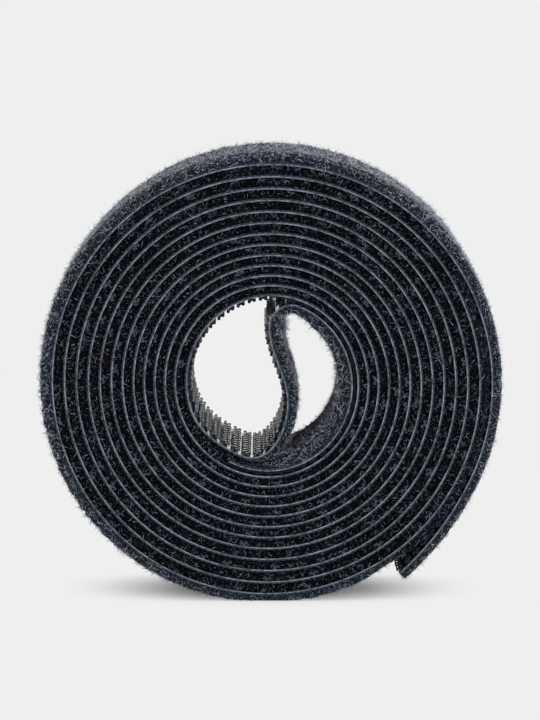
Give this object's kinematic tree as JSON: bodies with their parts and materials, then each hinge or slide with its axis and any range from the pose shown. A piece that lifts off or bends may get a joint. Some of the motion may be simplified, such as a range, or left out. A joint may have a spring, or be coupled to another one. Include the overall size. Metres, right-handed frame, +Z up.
{
  "type": "hook and loop tape roll",
  "caption": "Coreless roll of back-to-back hook and loop tape with a looped-over inner end in the bore and a free outer end that peels off the roll.",
  "frame": {"origin": "middle of the flat foot where the last turn stands on the surface, under the roll's axis", "axes": "+Z up, Y along the roll's axis with the front edge of the tape at -Y, +X to the side the free end lies on"},
  "size_m": [0.0707, 0.02, 0.0693],
  "materials": {
    "hook_web": "moulded satin film with glossy hooks",
    "bond_film": "thin dark adhesive",
    "loop_web": "brushed loop pile"
  },
  "bodies": {
    "wound_roll": {"wound_hook_web": "hook_web", "wound_bond_film": "bond_film", "wound_loop_web": "loop_web"},
    "tab_1": {"tab_1_hook_web": "hook_web", "tab_1_bond_film": "bond_film", "tab_1_loop_web": "loop_web"},
    "tab_2": {"tab_2_hook_web": "hook_web", "tab_2_bond_film": "bond_film", "tab_2_loop_web": "loop_web"},
    "tab_3": {"tab_3_hook_web": "hook_web", "tab_3_bond_film": "bond_film", "tab_3_loop_web": "loop_web"},
    "tab_4": {"tab_4_hook_web": "hook_web", "tab_4_bond_film": "bond_film", "tab_4_loop_web": "loop_web"},
    "tab_5": {"tab_5_hook_web": "hook_web", "tab_5_bond_film": "bond_film", "tab_5_loop_web": "loop_web"},
    "tab_6": {"tab_6_hook_web": "hook_web", "tab_6_bond_film": "bond_film", "tab_6_loop_web": "loop_web"}
  },
  "joints": [
    {"name": "peel_1", "type": "hinge", "parent": "wound_roll", "child": "tab_1", "pos_m": [0.03067, 0, 0.05207], "axis": [0, -1, 0], "range_deg": [0, 20]},
    {"name": "peel_2", "type": "hinge", "parent": "tab_1", "child": "tab_2", "pos_m": [0.0343, 0, 0.04389], "axis": [0, -1, 0], "range_deg": [0, 20]},
    {"name": "peel_3", "type": "hinge", "parent": "tab_2", "child": "tab_3", "pos_m": [0.03578, 0, 0.03505], "axis": [0, -1, 0], "range_deg": [0, 20]},
    {"name": "peel_4", "type": "hinge", "parent": "tab_3", "child": "tab_4", "pos_m": [0.03501, 0, 0.0261], "axis": [0, -1, 0], "range_deg": [0, 20]},
    {"name": "peel_5", "type": "hinge", "parent": "tab_4", "child": "tab_5", "pos_m": [0.03205, 0, 0.01762], "axis": [0, -1, 0], "range_deg": [0, 20]},
    {"name": "peel_6", "type": "hinge", "parent": "tab_5", "child": "tab_6", "pos_m": [0.02738, 0, 0.00995], "axis": [0, -1, 0], "range_deg": [0, 20]}
  ],
  "couplings": [
    {"joint": "peel_2", "follows": "peel_1", "ratio": 1},
    {"joint": "peel_3", "follows": "peel_1", "ratio": 1},
    {"joint": "peel_4", "follows": "peel_1", "ratio": 1},
    {"joint": "peel_5", "follows": "peel_1", "ratio": 1},
    {"joint": "peel_6", "follows": "peel_1", "ratio": 1}
  ]
}
